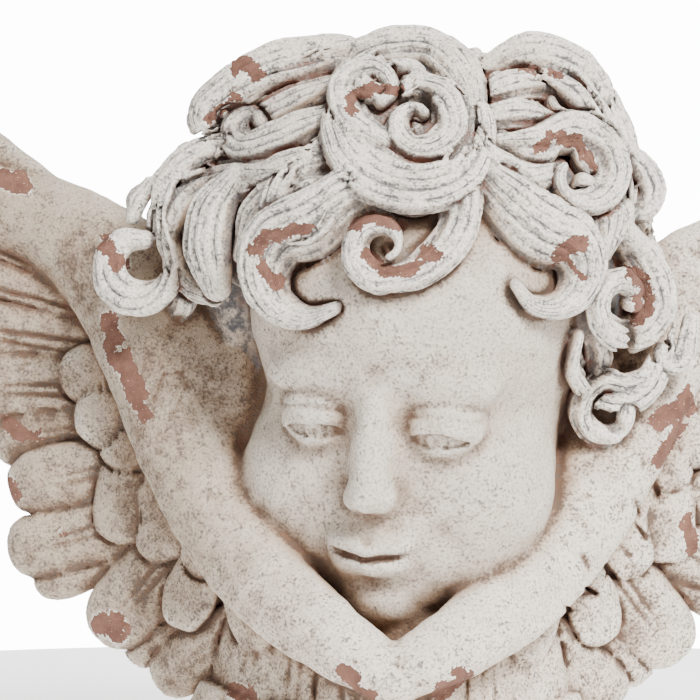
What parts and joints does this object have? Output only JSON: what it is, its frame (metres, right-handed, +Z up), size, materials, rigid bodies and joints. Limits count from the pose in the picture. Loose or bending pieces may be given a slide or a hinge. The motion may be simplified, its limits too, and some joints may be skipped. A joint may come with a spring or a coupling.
{
  "type": "winged cherub head sculpture",
  "caption": "Free-standing cherub head with curly hair, bowed and turned to one side, cradled by a pair of feathered wings that meet under the chin.",
  "frame": {"origin": "middle of the flat underside that the sculpture stands on", "axes": "+Z up, the front faces -Y, +X to the right of someone who faces it"},
  "size_m": [0.5628, 0.2439, 0.3826],
  "materials": {
    "whitewashed_cast": "cast terracotta-coloured composite under a worn chalky whitewash, sandy to the touch, with bare brick-red patches and rust-brown and grey grime in the hollows"
  },
  "bodies": {
    "root": {"winged_cherub_head": "whitewashed_cast"}
  },
  "joints": []
}
